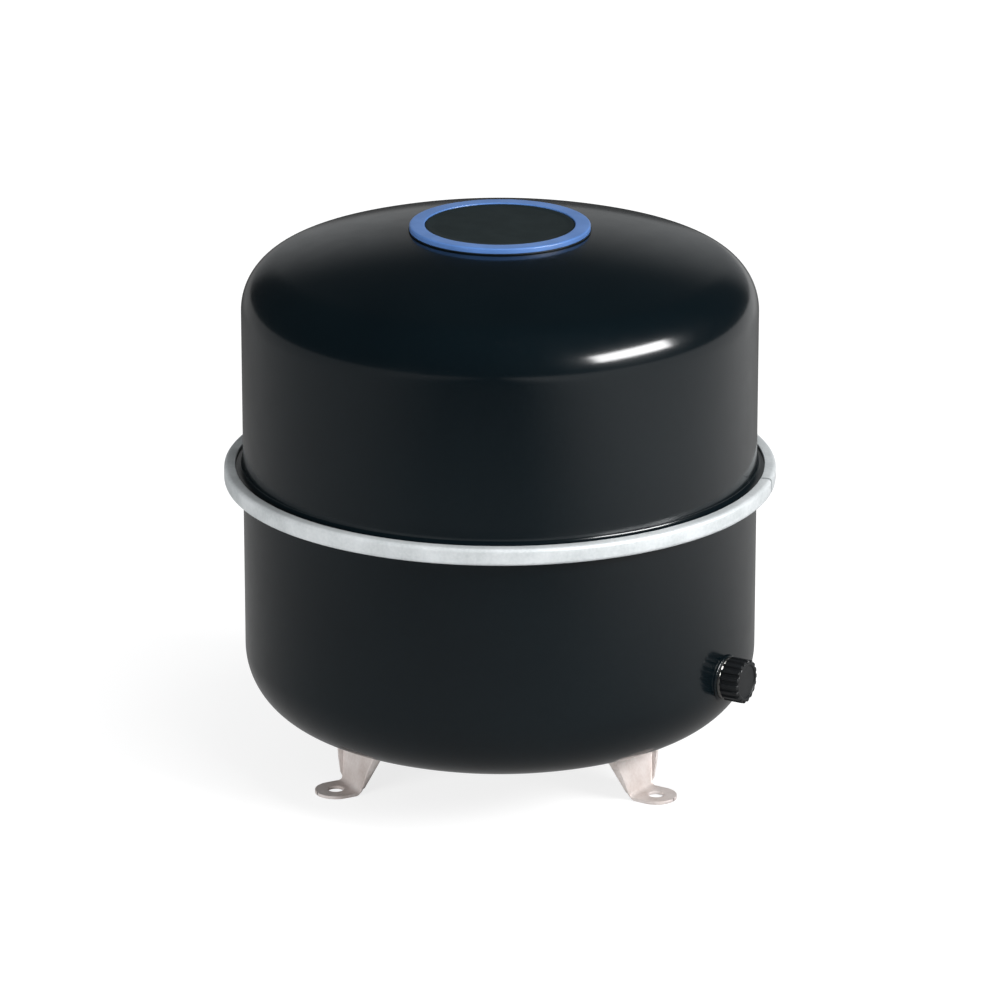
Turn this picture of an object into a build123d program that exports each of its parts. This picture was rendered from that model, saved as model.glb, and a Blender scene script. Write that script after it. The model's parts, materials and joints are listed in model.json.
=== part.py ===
"""A free-standing diaphragm expansion vessel for a heating circuit, in millimetres.

Two deep-drawn steel halves hold a rubber diaphragm between their flanges, and a rolled clench
ring grips both. The vessel stands on three stamped feet. Water comes in through a threaded
nipple low on the side, under a ribbed cap. Gas is charged through a valve in a recess of the
crown, under a round cover with a coloured ring.

+Z is up, the floor is z = 0 and the vessel's axis is the Z axis. Azimuths are counted from +X.
"""

import os
from math import atan2, cos, degrees, radians, sin, sqrt, tan

from build123d import *

# The two drawn halves
shell_radius = 203.5
shell_wall = 1.6
joint_height = 249.0
top_apex_height = 449.5
top_crown_radius = 560.0
top_knuckle_radius = 42.0
bottom_apex_height = 20.0
bottom_crown_radius = 430.0
bottom_knuckle_radius = 55.0
flange_bend = 4.0

# Clench ring, and the diaphragm that it clamps by its bead
ring_reach = 15.0
ring_sheet = 2.0
ring_lip_width = 9.0
ring_corner = 3.0
ring_gap = 3.0
ring_gap_azimuth = 350.0
rim_clearance = 0.1
bead_height = 6.4
bead_width = 6.6
bead_round = 1.2
diaphragm_sheet = 2.5
diaphragm_gap = 0.6

# Valve recess in the crown
recess_radius = 51.6
recess_depth = 42.0
recess_mouth_round = 4.0
recess_floor_round = 6.0

# Feet
foot_names = ("foot_rear", "foot_front_left", "foot_front_right")
rear_foot_azimuth = 90.0
foot_sheet = 2.5
foot_hole_circle = 147.0
foot_hole_radius = 6.5
foot_pad_radius = 16.5
foot_bend_distance = 12.5
foot_lean = 16.5
foot_flare = 25.0
foot_flange = 6.5
foot_flange_start = 0.8
foot_fold_round = 3.0

# Water nipple and its cap
connection_azimuth = 333.0
connection_height = 109.0
nipple_radius = 13.2
nipple_bore = 10.0
nipple_reach = 16.0
nipple_chamfer = 1.0
collar_radius = 16.5
collar_height = 3.0
hole_clearance = 0.1
port_cap_gap = 0.5
port_cap_wall = 2.4
port_cap_end = 1.6
port_cap_recess = 0.8
port_cap_rim = 2.6
port_cap_ribs = 18
port_rib_width = 2.8
port_rib_height = 1.7
port_rib_round = 0.5
port_liner_thickness = 1.0
thread_clearance = 0.1

# Gas valve
boss_radius = 12.0
boss_height = 4.0
boss_neck_radius = 8.0
boss_neck_length = 9.0
shank_radius = 4.8
shank_length = 11.0
oring_thickness = 1.7
oring_circle = 6.3
hex_gap = 0.3
hex_flats = 15.0
hex_height = 4.0
stem_radius = 3.85
stem_length = 15.0
core_bore = 2.7
core_bore_depth = 13.5
stem_bore = 1.6

# Valve core, with its pin drawn up against the seat by a spring
core_sink = 0.5
core_length = 9.8
core_clearance = 0.08
core_groove_length = 3.4
core_groove_depth = 0.55
core_spring_bore = 1.6
core_ledge = 1.0
core_ledge_bore = 0.85
pin_radius = 0.5
pin_stand = 0.3
pin_collar_radius = 1.35
pin_collar_height = 0.6
pin_collar_drop = 1.6
pin_cup_radius = 1.6
pin_cup_height = 1.1
pin_seal_height = 0.5
spring_wire = 0.28
spring_turns = 6

# Dust cap of the gas valve
dust_cap_wall = 1.5
dust_cap_skirt = 9.6
dust_cap_top = 1.4
dust_cap_flutes = 14
dust_flute_radius = 0.55
dust_seal_thickness = 0.9
dust_seal_gap = 0.05

# Round cover over the recess
cover_radius = 71.6
cover_gap = 0.3
cover_flange = 0.8
cover_plate = 1.8
cover_ring_radius = 71.0
cover_ring_width = 12.0
cover_ring_height = 5.3
cover_ring_plate = 2.2
cover_ring_lip = 2.0
cover_ring_round = 1.0
cover_fit = 0.1
cover_disc_sheet = 1.4
cover_disc_gap = 0.3
cover_skirt_clearance = 0.4
cover_skirt_wall = 1.8
cover_skirt_length = 10.0
cover_slots = 8
cover_slot_width = 5.0
cover_ribs = 6
cover_rib_start = 14.0
cover_rib_width = 1.6
cover_rib_height = 2.5

# Heights and radii that follow from them
ring_radius = shell_radius + ring_reach
upper_flange = joint_height + bead_height / 2
lower_flange = joint_height - bead_height / 2
rim_radius = ring_radius - ring_corner - rim_clearance
bead_outer = rim_radius - rim_clearance
bead_inner = bead_outer - bead_width
ring_height = bead_height + 2 * shell_wall + 2 * ring_sheet
crown_centre = top_apex_height - top_crown_radius
recess_floor = top_apex_height - recess_depth
boss_top = recess_floor + boss_height
hex_bottom = boss_top + hex_gap
stem_top = hex_bottom + hex_height + stem_length
core_top = stem_top - core_sink
core_bottom = core_top - core_length
core_radius = core_bore - core_clearance
pin_collar_bottom = core_top - pin_collar_drop
spring_bottom = core_bottom + core_ledge
seal_top = core_bottom
collar_face = shell_radius + collar_height
nipple_end = shell_radius + nipple_reach
port_cap_start = collar_face + port_cap_gap
port_cap_bore = nipple_radius + thread_clearance
port_cap_core = port_cap_bore + port_cap_wall
port_direction = (cos(radians(connection_azimuth)), sin(radians(connection_azimuth)), 0)


def port_plane(distance):
    """Plane across the nipple's axis, at a distance from the vessel's axis."""
    origin = (port_direction[0] * distance, port_direction[1] * distance, connection_height)
    return Plane(origin=origin, x_dir=(0, 0, 1), z_dir=port_direction)


def section_plane(azimuth):
    """Upright plane through the vessel's axis: local X runs outward and local Y runs up."""
    turn = radians(azimuth)
    return Plane(origin=(0, 0, 0), x_dir=(cos(turn), sin(turn), 0), z_dir=(sin(turn), -cos(turn), 0))


def finish(part, name):
    """Labels a finished piece and writes it to its own file."""
    part.label = name
    export_step(part, f"parts/{name}.step")


def head_centres(apex, crown, knuckle, side):
    """Centre heights of a head's crown and knuckle, with the angle from the axis where they meet."""
    knuckle_x = shell_radius - knuckle
    rise = sqrt((crown - knuckle) ** 2 - knuckle_x**2)
    crown_z = apex - side * crown
    return crown_z, crown_z + side * rise, degrees(atan2(knuckle_x, rise))


def head_side(knuckle, knuckle_z, meet, flange, side, inset, rim):
    """Draws a half's section from the end of its crown to the rim, inset into the sheet."""
    bend_x = shell_radius + flange_bend
    bend_z = flange + side * (shell_wall + flange_bend)
    flat_z = bend_z - side * (flange_bend + inset)
    CenterArc((shell_radius - knuckle, knuckle_z), knuckle - inset, side * (90 - meet), side * (meet - 90))
    Line((shell_radius - inset, knuckle_z), (shell_radius - inset, bend_z))
    CenterArc((bend_x, bend_z), flange_bend + inset, 180, side * 90)
    Line((bend_x, flat_z), (rim, flat_z))
    return rim, flat_z


def lower_line(inset, rim):
    """Draws the lower half's section from the axis to a rim radius, and gives its two ends."""
    crown_z, knuckle_z, meet = head_centres(
        bottom_apex_height, bottom_crown_radius, bottom_knuckle_radius, -1
    )
    CenterArc((0, crown_z), bottom_crown_radius - inset, -90, meet)
    end = head_side(bottom_knuckle_radius, knuckle_z, meet, lower_flange, -1, inset, rim)
    return (0, crown_z - bottom_crown_radius + inset), end


def upper_line(inset, start):
    """Draws the upper half's section from the recess floor to the rim, and gives its two ends."""
    crown_z, knuckle_z, meet = head_centres(top_apex_height, top_crown_radius, top_knuckle_radius, 1)
    corner_x = recess_radius - recess_floor_round
    corner_z = recess_floor + recess_floor_round
    mouth_x = recess_radius + recess_mouth_round
    mouth_rise = sqrt((top_crown_radius - recess_mouth_round) ** 2 - mouth_x**2)
    mouth_z = crown_z + mouth_rise
    mouth_meet = degrees(atan2(mouth_x, mouth_rise))
    Line((start, recess_floor - inset), (corner_x, recess_floor - inset))
    CenterArc((corner_x, corner_z), recess_floor_round + inset, -90, 90)
    Line((recess_radius + inset, corner_z), (recess_radius + inset, mouth_z))
    CenterArc((mouth_x, mouth_z), recess_mouth_round - inset, 180, -90 - mouth_meet)
    CenterArc((0, crown_z), top_crown_radius - inset, 90 - mouth_meet, mouth_meet - meet)
    end = head_side(top_knuckle_radius, knuckle_z, meet, upper_flange, 1, inset, rim_radius)
    return (start, recess_floor - inset), end


def crown_height(radius, gap=0.0):
    """Height of the crown's outside at a radius, lifted off it by a gap."""
    return crown_centre + sqrt((top_crown_radius + gap) ** 2 - radius**2)


def lower_body(inset):
    """The closed body inside the lower half's sheet, which trims what is welded to the sheet."""
    with BuildPart() as body:
        with BuildSketch(Plane.XZ):
            with BuildLine():
                start, end = lower_line(inset, rim_radius)
                Polyline(start, (0, joint_height), (end[0], joint_height), end)
            make_face()
        revolve(axis=Axis.Z)
    return body.part


os.makedirs("parts", exist_ok=True)
lower_outside = lower_body(0)
lower_inside = lower_body(shell_wall)

# Upper half: the gas side, with the valve recess drawn into its crown
with BuildPart() as upper_shell:
    with BuildSketch(Plane.XZ):
        with BuildLine():
            outer_start, outer_end = upper_line(0, boss_neck_radius + hole_clearance)
            inner_start, inner_end = upper_line(shell_wall, boss_neck_radius + hole_clearance)
            Line(outer_start, inner_start)
            Line(outer_end, inner_end)
        make_face()
    revolve(axis=Axis.Z)
finish(upper_shell.part, "upper_shell")

# Lower half: the water side, with the hole for the nipple
with BuildPart() as lower_shell:
    with BuildSketch(Plane.XZ):
        with BuildLine():
            outer_start, outer_end = lower_line(0, rim_radius)
            inner_start, inner_end = lower_line(shell_wall, rim_radius)
            Line(outer_start, inner_start)
            Line(outer_end, inner_end)
        make_face()
    revolve(axis=Axis.Z)
    with BuildSketch(port_plane(shell_radius / 2)):
        Circle(nipple_radius + hole_clearance)
    extrude(amount=shell_radius, mode=Mode.SUBTRACT)
finish(lower_shell.part, "lower_shell")

# Diaphragm: a rubber bowl that the gas charge presses down against the water side, as delivered
with BuildPart() as diaphragm:
    with BuildSketch(Plane.XZ):
        with BuildLine():
            near_start, near_end = lower_line(shell_wall + diaphragm_gap, bead_inner + bead_round)
            far_start, far_end = lower_line(
                shell_wall + diaphragm_gap + diaphragm_sheet, bead_inner + bead_round
            )
            Line(near_start, far_start)
            Line(near_end, far_end)
        make_face()
        with Locations(((bead_inner + bead_outer) / 2, joint_height)):
            RectangleRounded(bead_width, bead_height, bead_round)
    revolve(axis=Axis.Z)
finish(diaphragm.part, "diaphragm")

# Clench ring: one rolled strip of C section, with a small gap between its two ends
gap_angle = degrees(ring_gap / ring_radius)
with BuildPart() as clench_ring:
    with BuildSketch(section_plane(ring_gap_azimuth + gap_angle / 2)):
        with BuildLine():
            FilletPolyline(
                (ring_radius - ring_lip_width, joint_height - ring_height / 2),
                (ring_radius, joint_height - ring_height / 2),
                (ring_radius, joint_height + ring_height / 2),
                (ring_radius - ring_lip_width, joint_height + ring_height / 2),
                radius=ring_corner,
            )
            FilletPolyline(
                (ring_radius - ring_lip_width, joint_height - ring_height / 2 + ring_sheet),
                (ring_radius - ring_sheet, joint_height - ring_height / 2 + ring_sheet),
                (ring_radius - ring_sheet, joint_height + ring_height / 2 - ring_sheet),
                (ring_radius - ring_lip_width, joint_height + ring_height / 2 - ring_sheet),
                radius=ring_corner - ring_sheet,
            )
            for side in (-1, 1):
                edge = joint_height + side * ring_height / 2
                Line(
                    (ring_radius - ring_lip_width, edge),
                    (ring_radius - ring_lip_width, edge - side * ring_sheet),
                )
        make_face()
    revolve(axis=Axis.Z, revolution_arc=360 - gap_angle)
finish(clench_ring.part, "clench_ring")

# Feet: one stamping each, a round-ended pad and a flared leg with its sides folded outward
foot_bend = foot_hole_circle - foot_bend_distance
leg_rise = bottom_crown_radius + bottom_apex_height - sqrt(bottom_crown_radius**2 - foot_bend**2)
leg_length = leg_rise / cos(radians(foot_lean)) + foot_flange
leg_root = -foot_sheet * 2


def leg_section(distance):
    """Draws the leg's channel section at a distance up the leg from the floor."""
    share = (distance - leg_root) / (leg_length - leg_root)
    half_width = foot_pad_radius + distance * tan(radians(foot_flare))
    reach = foot_flange_start + share * (foot_flange - foot_flange_start)
    inner_round = foot_fold_round - foot_sheet
    FilletPolyline(
        (-half_width, reach),
        (-half_width, -foot_sheet),
        (half_width, -foot_sheet),
        (half_width, reach),
        radius=foot_fold_round,
    )
    FilletPolyline(
        (foot_sheet - half_width, reach),
        (foot_sheet - half_width, 0),
        (half_width - foot_sheet, 0),
        (half_width - foot_sheet, reach),
        radius=inner_round,
    )
    for side in (-1, 1):
        Line((side * half_width, reach), (side * (half_width - foot_sheet), reach))


def make_foot(azimuth):
    """One foot at an azimuth, trimmed to the lower half that it is welded to."""
    lean = radians(foot_lean)
    with BuildPart() as foot:
        for distance in (leg_root, leg_length):
            origin = (foot_bend - distance * sin(lean), 0, distance * cos(lean))
            with BuildSketch(Plane(origin=origin, x_dir=(0, -1, 0), z_dir=(-sin(lean), 0, cos(lean)))):
                with BuildLine():
                    leg_section(distance)
                make_face()
        loft()
        with BuildSketch():
            with Locations((foot_hole_circle, 0)):
                Circle(foot_pad_radius)
            with Locations(((foot_bend - foot_sheet + foot_hole_circle) / 2, 0)):
                Rectangle(foot_hole_circle - foot_bend + foot_sheet, 2 * foot_pad_radius)
        extrude(amount=foot_sheet)
        with BuildSketch():
            with Locations((foot_bend, 0)):
                Rectangle(2 * shell_radius, 2 * shell_radius)
        extrude(amount=-leg_length, mode=Mode.SUBTRACT)
        with BuildSketch():
            with Locations((foot_hole_circle, 0)):
                Circle(foot_hole_radius)
        extrude(amount=foot_sheet, mode=Mode.SUBTRACT)
        add(lower_outside, mode=Mode.SUBTRACT)
    return foot.part.rotate(Axis.Z, azimuth)


for foot_index, foot_name in enumerate(foot_names):
    finish(make_foot(rear_foot_azimuth + foot_index * 360 / len(foot_names)), foot_name)

# Collar of the water nipple, which bears on the wall round the hole
port_axis = Axis(origin=port_plane(0).origin, direction=port_direction)
with BuildPart() as nipple_collar:
    with BuildSketch(port_plane(shell_radius / 2)):
        Circle(collar_radius)
    extrude(amount=collar_face - shell_radius / 2)
    add(lower_outside, mode=Mode.SUBTRACT)

# Water nipple: a turned and threaded bush with its collar, welded through the wall
with BuildPart() as connection_nipple:
    with BuildSketch(port_plane(shell_radius / 2)):
        Circle(nipple_radius)
    extrude(amount=nipple_end - shell_radius / 2)
    chamfer(connection_nipple.faces().sort_by(port_axis)[-1].edges(), nipple_chamfer)
    add(lower_inside, mode=Mode.SUBTRACT)
    add(nipple_collar.part)
    with BuildSketch(port_plane(shell_radius / 2)):
        Circle(nipple_bore)
    extrude(amount=shell_radius, mode=Mode.SUBTRACT)
finish(connection_nipple.part, "connection_nipple")

# Cap of the nipple: a moulded cup with ribs along it and a raised rim round its end
port_liner_end = nipple_end + port_liner_thickness
port_cap_face = port_liner_end + port_cap_end
with BuildPart() as connection_cap:
    with BuildSketch(port_plane(port_cap_start)):
        Circle(port_cap_core)
        with PolarLocations(port_cap_core, port_cap_ribs):
            RectangleRounded(2 * port_rib_height, port_rib_width, port_rib_round)
    extrude(amount=port_cap_face + port_cap_recess - port_cap_start)
    with BuildSketch(port_plane(port_cap_start)):
        Circle(port_cap_bore)
    extrude(amount=port_liner_end - port_cap_start, mode=Mode.SUBTRACT)
    with BuildSketch(port_plane(port_cap_face)):
        Circle(port_cap_core - port_cap_rim)
    extrude(amount=port_cap_recess, mode=Mode.SUBTRACT)
finish(connection_cap.part, "connection_cap")

# Sealing disc inside the cap, which bears on the nipple's end
with BuildPart() as connection_cap_seal:
    with BuildSketch(port_plane(nipple_end)):
        Circle(nipple_radius)
    extrude(amount=port_liner_thickness)
finish(connection_cap_seal.part, "connection_cap_seal")

# Boss of the gas valve, set through the recess floor and welded there
with BuildPart() as valve_boss:
    with BuildSketch(Plane.XY.offset(recess_floor)):
        Circle(boss_radius)
    extrude(amount=boss_height)
    with BuildSketch(Plane.XY.offset(recess_floor - boss_neck_length)):
        Circle(boss_neck_radius)
    extrude(amount=boss_neck_length)
    with BuildSketch(Plane.XY.offset(recess_floor - boss_neck_length)):
        Circle(shank_radius + thread_clearance)
    extrude(amount=boss_neck_length + boss_height, mode=Mode.SUBTRACT)
    with Locations((0, 0, hex_bottom - oring_thickness / 2)):
        Torus(oring_circle, oring_thickness / 2 + thread_clearance, mode=Mode.SUBTRACT)
finish(valve_boss.part, "valve_boss")

# Brass body of the gas valve: threaded shank, hexagon and threaded stem, bored for the core
with BuildPart() as valve_stem:
    with BuildSketch(Plane.XY.offset(boss_top - shank_length)):
        Circle(shank_radius)
    extrude(amount=shank_length + hex_gap)
    with BuildSketch(Plane.XY.offset(hex_bottom)):
        RegularPolygon(hex_flats / 2, 6, major_radius=False)
    extrude(amount=hex_height)
    with BuildSketch(Plane.XY.offset(hex_bottom + hex_height)):
        Circle(stem_radius)
    extrude(amount=stem_length)
    chamfer(valve_stem.faces().sort_by(Axis.Z)[-1].edges(), hex_gap)
    with BuildSketch(Plane.XY.offset(stem_top - core_bore_depth)):
        Circle(core_bore)
    extrude(amount=core_bore_depth, mode=Mode.SUBTRACT)
    with BuildSketch(Plane.XY.offset(boss_top - shank_length)):
        Circle(stem_bore)
    extrude(amount=shank_length + hex_gap + hex_height + stem_length, mode=Mode.SUBTRACT)
finish(valve_stem.part, "valve_stem")

# O-ring between the valve's hexagon and its boss
with BuildPart() as valve_stem_seal:
    with Locations((0, 0, hex_bottom - oring_thickness / 2)):
        Torus(oring_circle, oring_thickness / 2)
finish(valve_stem_seal.part, "valve_stem_seal")

# Barrel of the valve core, with a groove for its gasket and a chamber for the spring
groove_top = core_top - core_groove_length
with BuildPart() as core_barrel:
    with BuildSketch(Plane.XZ):
        with BuildLine():
            Polyline(
                (core_ledge_bore, core_bottom),
                (core_radius, core_bottom),
                (core_radius, groove_top - core_groove_length),
                (core_radius - core_groove_depth, groove_top - core_groove_length),
                (core_radius - core_groove_depth, groove_top),
                (core_radius, groove_top),
                (core_radius, core_top),
                (core_spring_bore, core_top),
                (core_spring_bore, spring_bottom),
                (core_ledge_bore, spring_bottom),
                close=True,
            )
        make_face()
    revolve(axis=Axis.Z)
finish(core_barrel.part, "core_barrel")

# Gasket in the barrel's groove, which seals the core in the stem
with BuildPart() as core_gasket:
    with BuildSketch(Plane.XY.offset(groove_top - core_groove_length)):
        Circle(core_bore)
        Circle(core_radius - core_groove_depth, mode=Mode.SUBTRACT)
    extrude(amount=core_groove_length)
finish(core_gasket.part, "core_gasket")

# Pin of the valve core: a collar that the spring lifts, and a cup below the seat
cup_top = seal_top - pin_seal_height
with BuildPart() as core_pin:
    with BuildSketch(Plane.XY.offset(cup_top - pin_cup_height)):
        Circle(pin_radius)
    extrude(amount=core_top + pin_stand - cup_top + pin_cup_height)
    with BuildSketch(Plane.XY.offset(pin_collar_bottom)):
        Circle(pin_collar_radius)
    extrude(amount=pin_collar_height)
    with BuildSketch(Plane.XY.offset(cup_top - pin_cup_height)):
        Circle(pin_cup_radius)
    extrude(amount=pin_cup_height)
finish(core_pin.part, "core_pin")

# Rubber washer in the pin's cup, which closes against the barrel's lower face
with BuildPart() as core_seat_washer:
    with BuildSketch(Plane.XY.offset(cup_top)):
        Circle(pin_cup_radius)
        Circle(pin_radius, mode=Mode.SUBTRACT)
    extrude(amount=pin_seal_height)
finish(core_seat_washer.part, "core_seat_washer")

# Spring of the valve core, coiled round the pin between the ledge and the collar
spring_height = pin_collar_bottom - spring_bottom - spring_wire
spring_circle = (pin_radius + core_spring_bore) / 2
with BuildPart() as core_spring:
    with BuildLine():
        Helix(
            pitch=spring_height / spring_turns,
            height=spring_height,
            radius=spring_circle,
            center=(0, 0, spring_bottom + spring_wire / 2),
        )
    with BuildSketch(Plane(origin=(spring_circle, 0, spring_bottom + spring_wire / 2), z_dir=(0, 1, 0))):
        Circle(spring_wire / 2)
    sweep(is_frenet=True)
finish(core_spring.part, "core_spring")

# Dust cap screwed over the stem, fluted for the fingers
dust_bore = stem_radius + thread_clearance
dust_cap_radius = dust_bore + dust_cap_wall
dust_seal_bottom = stem_top + dust_seal_gap
dust_cap_ceiling = dust_seal_bottom + dust_seal_thickness
with BuildPart() as valve_dust_cap:
    with BuildSketch(Plane.XY.offset(stem_top - dust_cap_skirt)):
        Circle(dust_cap_radius)
    extrude(amount=dust_cap_ceiling + dust_cap_top - stem_top + dust_cap_skirt)
    fillet(valve_dust_cap.faces().sort_by(Axis.Z)[-1].edges(), dust_cap_top / 2)
    with BuildSketch(Plane.XY.offset(stem_top - dust_cap_skirt)):
        Circle(dust_bore)
    extrude(amount=dust_cap_ceiling - stem_top + dust_cap_skirt, mode=Mode.SUBTRACT)
    with BuildSketch(Plane.XY.offset(stem_top - dust_cap_skirt)):
        with PolarLocations(dust_cap_radius, dust_cap_flutes):
            Circle(dust_flute_radius)
    extrude(amount=dust_cap_skirt, mode=Mode.SUBTRACT)
finish(valve_dust_cap.part, "valve_dust_cap")

# Sealing disc inside the dust cap
with BuildPart() as dust_cap_seal:
    with BuildSketch(Plane.XY.offset(dust_seal_bottom)):
        Circle(stem_radius)
    extrude(amount=dust_seal_thickness)
finish(dust_cap_seal.part, "dust_cap_seal")

# Base of the round cover: a plate on the crown, with a slotted skirt that springs into the recess
ring_top = crown_height(cover_ring_radius) + cover_ring_height
ring_seat = ring_top - cover_ring_plate
plate_bottom = ring_seat - cover_plate
skirt_outer = recess_radius - cover_skirt_clearance
skirt_inner = skirt_outer - cover_skirt_wall
mouth_radius = recess_radius + recess_mouth_round
base_shoulder = cover_ring_radius - cover_ring_lip - cover_fit
lip_middle = (mouth_radius + cover_radius) / 2
edge_bottom = crown_height(cover_radius, cover_gap)
edge_top = edge_bottom + cover_flange
with BuildPart() as cover_base:
    with BuildSketch(Plane.XZ):
        with BuildLine():
            Polyline(
                (cover_radius, edge_bottom),
                (cover_radius, edge_top),
                (base_shoulder, edge_top),
                (base_shoulder, ring_seat),
                (0, ring_seat),
                (0, plate_bottom),
                (skirt_inner, plate_bottom),
                (skirt_inner, plate_bottom - cover_skirt_length),
                (skirt_outer, plate_bottom - cover_skirt_length),
                (skirt_outer, crown_height(mouth_radius, cover_gap)),
                (mouth_radius, crown_height(mouth_radius, cover_gap)),
            )
            ThreePointArc(
                (mouth_radius, crown_height(mouth_radius, cover_gap)),
                (lip_middle, crown_height(lip_middle, cover_gap)),
                (cover_radius, edge_bottom),
            )
        make_face()
    revolve(axis=Axis.Z)
    with BuildSketch(Plane.XY.offset(plate_bottom - cover_rib_height)):
        rib_length = skirt_inner - cover_rib_start
        with PolarLocations(cover_rib_start + rib_length / 2, cover_ribs):
            Rectangle(rib_length + cover_rib_width, cover_rib_width)
    extrude(amount=cover_rib_height + cover_plate / 2)
    with BuildSketch(Plane.XY.offset(plate_bottom - cover_skirt_length)):
        with PolarLocations((skirt_inner + skirt_outer) / 2, cover_slots, start_angle=180 / cover_slots):
            Rectangle(2 * cover_skirt_wall, cover_slot_width)
    extrude(amount=cover_skirt_length - cover_skirt_wall, mode=Mode.SUBTRACT)
finish(cover_base.part, "cover_base")

# Coloured ring on the base: a flat band with a lip down to the base's edge
with BuildPart() as cover_ring:
    with BuildSketch(Plane.XZ):
        with BuildLine():
            Polyline(
                (cover_ring_radius - cover_ring_width, ring_top),
                (cover_ring_radius, ring_top),
                (cover_ring_radius, edge_top),
                (cover_ring_radius - cover_ring_lip, edge_top),
                (cover_ring_radius - cover_ring_lip, ring_seat),
                (cover_ring_radius - cover_ring_width, ring_seat),
                close=True,
            )
        make_face()
    revolve(axis=Axis.Z)
    fillet(cover_ring.edges().group_by(Axis.Z)[-1], cover_ring_round)
finish(cover_ring.part, "cover_ring")

# Bare disc inside the ring
with BuildPart() as cover_disc:
    with BuildSketch(Plane.XY.offset(ring_seat)):
        Circle(cover_ring_radius - cover_ring_width - cover_disc_gap)
    extrude(amount=cover_disc_sheet)
finish(cover_disc.part, "cover_disc")
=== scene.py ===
"""Finish, detail, light and camera for the expansion vessel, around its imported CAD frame.

Profiles are in millimetres and become metres where a mesh is made. Z is up, and azimuths are
counted from +X in degrees, as in the part's source.
"""

import json
from math import asin, atan2, ceil, cos, degrees, pi, radians, sin, sqrt, tan

import bpy
from mathutils import Matrix, Vector, noise


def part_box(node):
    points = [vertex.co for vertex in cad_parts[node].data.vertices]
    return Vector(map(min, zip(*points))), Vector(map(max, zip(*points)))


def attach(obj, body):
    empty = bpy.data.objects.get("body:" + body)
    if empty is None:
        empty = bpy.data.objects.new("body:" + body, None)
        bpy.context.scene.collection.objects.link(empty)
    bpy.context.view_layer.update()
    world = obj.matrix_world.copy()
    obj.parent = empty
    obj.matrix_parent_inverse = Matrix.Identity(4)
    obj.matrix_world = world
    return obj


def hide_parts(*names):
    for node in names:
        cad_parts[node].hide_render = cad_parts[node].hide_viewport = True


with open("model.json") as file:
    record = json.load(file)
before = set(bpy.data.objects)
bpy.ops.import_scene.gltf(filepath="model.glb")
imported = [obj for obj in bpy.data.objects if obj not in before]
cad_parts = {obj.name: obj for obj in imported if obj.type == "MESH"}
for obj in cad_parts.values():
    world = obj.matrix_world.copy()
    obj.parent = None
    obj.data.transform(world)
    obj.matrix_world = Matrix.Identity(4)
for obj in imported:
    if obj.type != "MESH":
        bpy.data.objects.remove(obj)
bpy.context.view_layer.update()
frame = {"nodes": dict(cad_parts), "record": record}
nodes = frame["nodes"]

MM = 0.001
ROUND_STEPS = 288

# Levels of the studio: what gloss sees of the room, its backdrop and the floor, and the even fill
ROOM_GLOSS, BACKDROP_GLOSS, FILL_LEVEL = 0.02, 0.30, 0.30
BACKDROP_FROM, BACKDROP_FULL = 0.84, 0.99
FLOOR_NEAR, FLOOR_FAR, FLOOR_LEFT, FLOOR_RIGHT = 0.26, 0.04, 0.22, 0.55

# Sizes shared with the part's source
shell_radius = 203.5
shell_wall = 1.6
joint_height = 249.0
top_apex, top_crown, top_knuckle = 449.5, 560.0, 42.0
bottom_apex, bottom_crown, bottom_knuckle = 20.0, 430.0, 55.0
flange_bend = 4.0
bead_height = 6.4
ring_radius, ring_sheet, ring_lip_width, ring_corner = 218.5, 2.0, 9.0, 3.0
ring_gap, ring_gap_azimuth = 3.0, 350.0
rim_radius = 215.4
recess_radius, recess_depth, recess_mouth, recess_corner = 51.6, 42.0, 4.0, 6.0
boss_hole = 8.1
connection_azimuth, connection_height = 333.0, 109.0
nipple_radius, nipple_bore, nipple_end = 13.2, 10.0, 219.5
collar_radius, collar_face = 16.5, 206.5
cap_start, cap_face, cap_recess = 207.0, 222.1, 0.8
cap_bore, cap_core, cap_rim = 13.3, 15.7, 2.6
cap_ribs, rib_width, rib_height = 18, 2.8, 1.7
foot_azimuths = {"foot_rear": 90.0, "foot_front_left": 210.0, "foot_front_right": 330.0}
foot_sheet, foot_hole_circle, foot_hole_radius, foot_pad_radius = 2.5, 147.0, 6.5, 16.5
foot_bend_distance, foot_lean, foot_flare, foot_flange = 12.5, 16.5, 25.0, 6.5

upper_flange = joint_height + bead_height / 2
lower_flange = joint_height - bead_height / 2
ring_half = bead_height / 2 + shell_wall + ring_sheet
crown_centre = top_apex - top_crown
recess_floor = top_apex - recess_depth
bottom_centre = bottom_apex + bottom_crown


def arc(centre, radius, start, end, steps):
    """Points on an arc, from one angle to another in degrees, both ends included."""
    turns = [radians(start + (end - start) * i / steps) for i in range(steps + 1)]
    return [(centre[0] + radius * cos(t), centre[1] + radius * sin(t)) for t in turns]


def span(start, end, steps):
    """Points on a straight line, without its two ends."""
    shares = [i / steps for i in range(1, steps)]
    return [tuple(a + (b - a) * s for a, b in zip(start, end)) for s in shares]


def mesh_piece(name, vertices, faces, material, body, crease=35):
    """A mesh object in metres that rides on a body, smooth up to a crease angle in degrees."""
    mesh = bpy.data.meshes.new(name)
    mesh.from_pydata([Vector(v) * MM for v in vertices], [], faces)
    mesh.validate()
    mesh.shade_smooth()
    mesh.set_sharp_from_angle(angle=radians(crease))
    piece = bpy.data.objects.new(name, mesh)
    bpy.context.scene.collection.objects.link(piece)
    mesh.materials.append(material)
    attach(piece, body)
    return piece


def loop_faces(rows, columns, close_rows, close_columns):
    """Quads over a grid of points that is numbered row by row."""
    faces = []
    for i in range(rows if close_rows else rows - 1):
        for j in range(columns if close_columns else columns - 1):
            a, b = i * columns, ((i + 1) % rows) * columns
            k = (j + 1) % columns
            faces.append((a + j, b + j, b + k, a + k))
    return faces


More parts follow.
